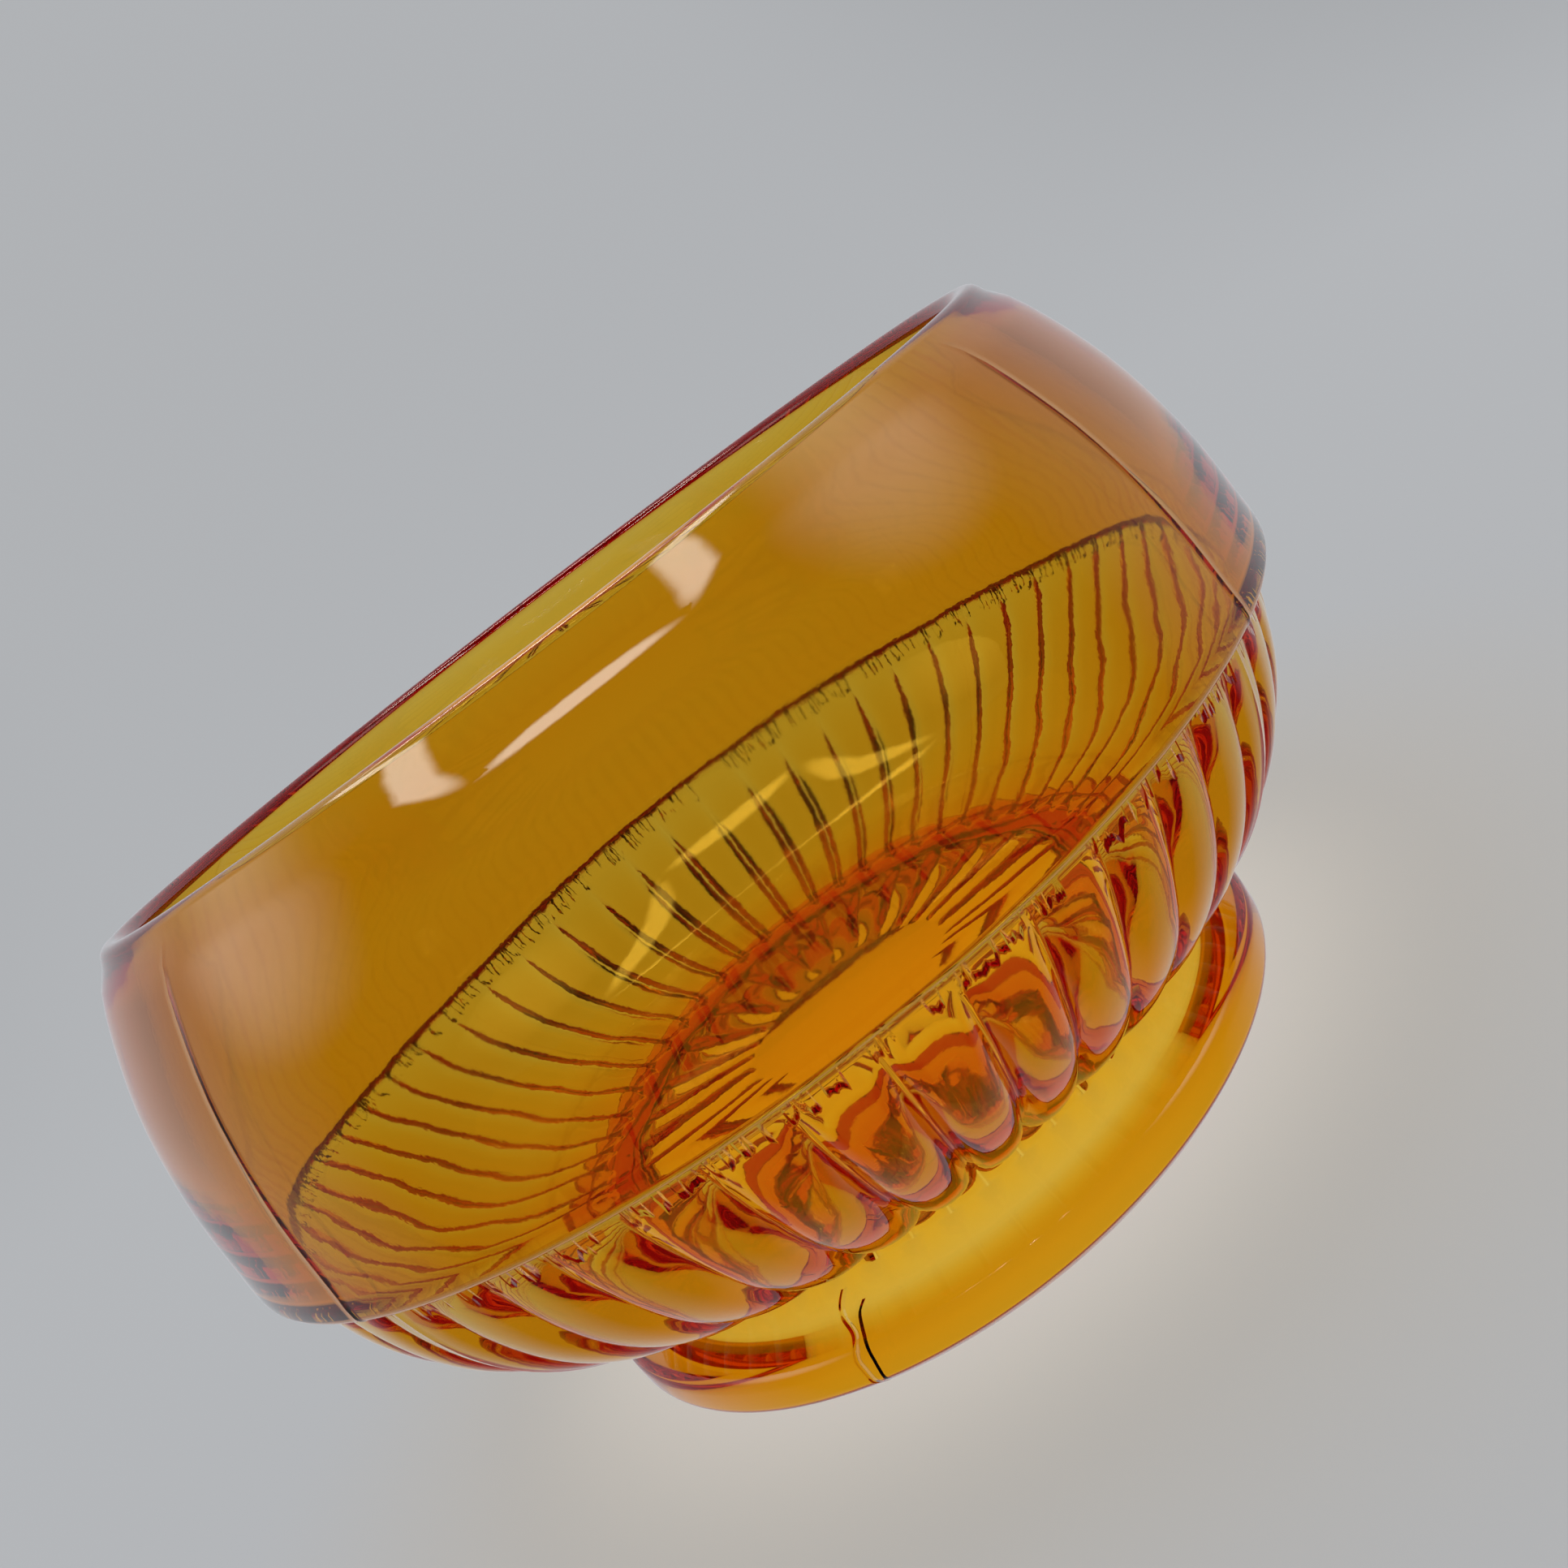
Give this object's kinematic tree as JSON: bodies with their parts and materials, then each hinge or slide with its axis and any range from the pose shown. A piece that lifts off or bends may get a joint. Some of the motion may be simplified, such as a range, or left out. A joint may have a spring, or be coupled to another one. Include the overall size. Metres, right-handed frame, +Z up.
{
  "type": "footed glass bowl",
  "caption": "Round footed bowl in pressed amber glass, with a smooth collar leaning in to the rim, gadroons below the shoulder step and a star under the floor.",
  "frame": {"origin": "centre of the foot ring, on the plane that it rests on", "axes": "+Z up along the axis of the bowl, towards its mouth"},
  "size_m": [0.2, 0.2, 0.1132],
  "materials": {
    "pressed_amber_glass": "fire-polished pressed amber glass"
  },
  "bodies": {
    "root": {"bowl": "pressed_amber_glass", "foot": "pressed_amber_glass"}
  },
  "joints": []
}
